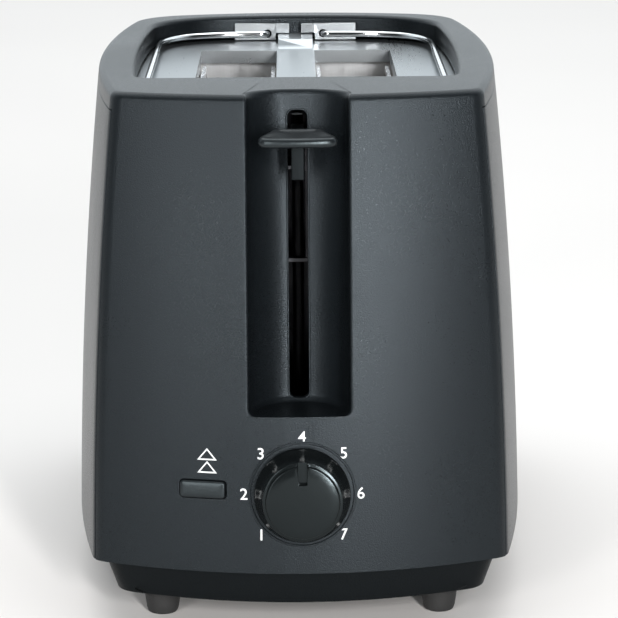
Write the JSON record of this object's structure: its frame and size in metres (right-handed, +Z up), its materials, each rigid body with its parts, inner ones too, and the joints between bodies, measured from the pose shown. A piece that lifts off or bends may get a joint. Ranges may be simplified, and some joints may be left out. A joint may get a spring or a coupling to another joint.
{
  "type": "pop-up toaster",
  "caption": "Pop-up toaster with a steel-topped bread well, front carriage lever, browning knob, cancel button, swing-up rack wires and slide-out crumb tray.",
  "frame": {"origin": "middle of the footprint on the surface the toaster stands on", "axes": "+Z up, +Y from the control panel to the rear along the bread slots, +X to the right when facing the control panel"},
  "size_m": [0.1672, 0.2846, 0.187],
  "materials": {
    "shell_plastic": "fine spark-grain moulded plastic, near-black slate",
    "base_plastic": "smoother black moulded plastic",
    "control_plastic": "glossy black moulded plastic",
    "rubber": "matt black rubber",
    "sheet_steel": "bright rolled steel sheet",
    "screw_steel": "zinc-plated screw",
    "spring_steel": "spring wire",
    "iron": "plated soft iron",
    "chrome": "polished chrome plating",
    "mica": "mica board",
    "heating_ribbon": "nickel-chrome resistance ribbon",
    "circuit_board": "green solder-masked board",
    "component_plastic": "black component plastic",
    "copper": "enamelled copper winding"
  },
  "bodies": {
    "housing": {"housing_shell": "shell_plastic", "left_side_panel": "shell_plastic", "right_side_panel": "shell_plastic", "base_pan": "base_plastic", "front_left_foot": "rubber", "front_left_foot_screw": "screw_steel", "front_right_foot": "rubber", "front_right_foot_screw": "screw_steel", "rear_left_foot": "rubber", "rear_left_foot_screw": "screw_steel", "rear_right_foot": "rubber", "rear_right_foot_screw": "screw_steel", "cord_gland": "rubber", "top_plate": "sheet_steel", "chassis_front_plate": "sheet_steel", "chassis_rear_plate": "sheet_steel", "left_reflector": "sheet_steel", "right_reflector": "sheet_steel", "spring_anchor": "sheet_steel", "left_rear_rack_bracket": "sheet_steel", "right_rear_rack_bracket": "sheet_steel", "left_front_rack_bracket": "sheet_steel", "right_front_rack_bracket": "sheet_steel", "electromagnet_core": "iron", "guide_rod": "chrome", "carriage_spring": "spring_steel", "left_heater_card": "mica", "centre_heater_card": "mica", "right_heater_card": "mica", "left_heating_element": "heating_ribbon", "centre_left_heating_element": "heating_ribbon", "centre_right_heating_element": "heating_ribbon", "right_heating_element": "heating_ribbon", "control_board": "circuit_board", "potentiometer_body": "component_plastic", "cancel_switch": "component_plastic", "electromagnet_coil": "copper"},
    "carriage": {"carriage_bracket": "sheet_steel", "left_bread_lifter": "sheet_steel", "right_bread_lifter": "sheet_steel", "lever_knob": "control_plastic", "armature_plate": "iron"},
    "knob": {"browning_knob": "control_plastic", "potentiometer_shaft": "chrome"},
    "button": {"cancel_button": "control_plastic"},
    "tray": {"crumb_tray": "sheet_steel", "crumb_tray_handle": "base_plastic"},
    "left_rack": {"left_rack_wire": "chrome"},
    "right_rack": {"right_rack_wire": "chrome"},
    "left_inner_guide": {"left_inner_bread_guide": "sheet_steel"},
    "left_outer_guide": {"left_outer_bread_guide": "sheet_steel"},
    "right_inner_guide": {"right_inner_bread_guide": "sheet_steel"},
    "right_outer_guide": {"right_outer_bread_guide": "sheet_steel"}
  },
  "joints": [
    {"name": "carriage_slide", "type": "slide", "parent": "housing", "child": "carriage", "axis": [0, 0, -1], "range_m": [0, 0.075], "stiffness_N_per_m": 60, "springref_m": -0.06, "deforming": ["carriage_spring"]},
    {"name": "browning_knob_turn", "type": "hinge", "parent": "housing", "child": "knob", "pos_m": [0.0007, -0.1281, 0.052], "axis": [0.0045, -0.9975, 0.0701], "range_deg": [-135, 135]},
    {"name": "cancel_button_press", "type": "slide", "parent": "housing", "child": "button", "axis": [0.2109, 0.9751, -0.0686], "range_m": [0, 0.0025], "stiffness_N_per_m": 600, "springref_m": -0.001},
    {"name": "crumb_tray_slide", "type": "slide", "parent": "housing", "child": "tray", "axis": [0, 1, 0], "range_m": [0, 0.19]},
    {"name": "left_rack_swing", "type": "hinge", "parent": "housing", "child": "left_rack", "pos_m": [-0.0115, 0, 0.18], "axis": [0, 1, 0], "range_deg": [0, 70]},
    {"name": "right_rack_swing", "type": "hinge", "parent": "housing", "child": "right_rack", "pos_m": [0.0115, 0, 0.18], "axis": [0, -1, 0], "range_deg": [0, 70]},
    {"name": "left_inner_guide_close", "type": "slide", "parent": "housing", "child": "left_inner_guide", "axis": [-1, 0, 0], "range_m": [0, 0.005]},
    {"name": "left_outer_guide_close", "type": "slide", "parent": "housing", "child": "left_outer_guide", "axis": [1, 0, 0], "range_m": [0, 0.005]},
    {"name": "right_inner_guide_close", "type": "slide", "parent": "housing", "child": "right_inner_guide", "axis": [1, 0, 0], "range_m": [0, 0.005]},
    {"name": "right_outer_guide_close", "type": "slide", "parent": "housing", "child": "right_outer_guide", "axis": [-1, 0, 0], "range_m": [0, 0.005]}
  ],
  "couplings": [
    {"joint": "left_inner_guide_close", "follows": "carriage_slide", "ratio": 0.06666},
    {"joint": "left_outer_guide_close", "follows": "carriage_slide", "ratio": 0.06666},
    {"joint": "right_inner_guide_close", "follows": "carriage_slide", "ratio": 0.06666},
    {"joint": "right_outer_guide_close", "follows": "carriage_slide", "ratio": 0.06666}
  ]
}
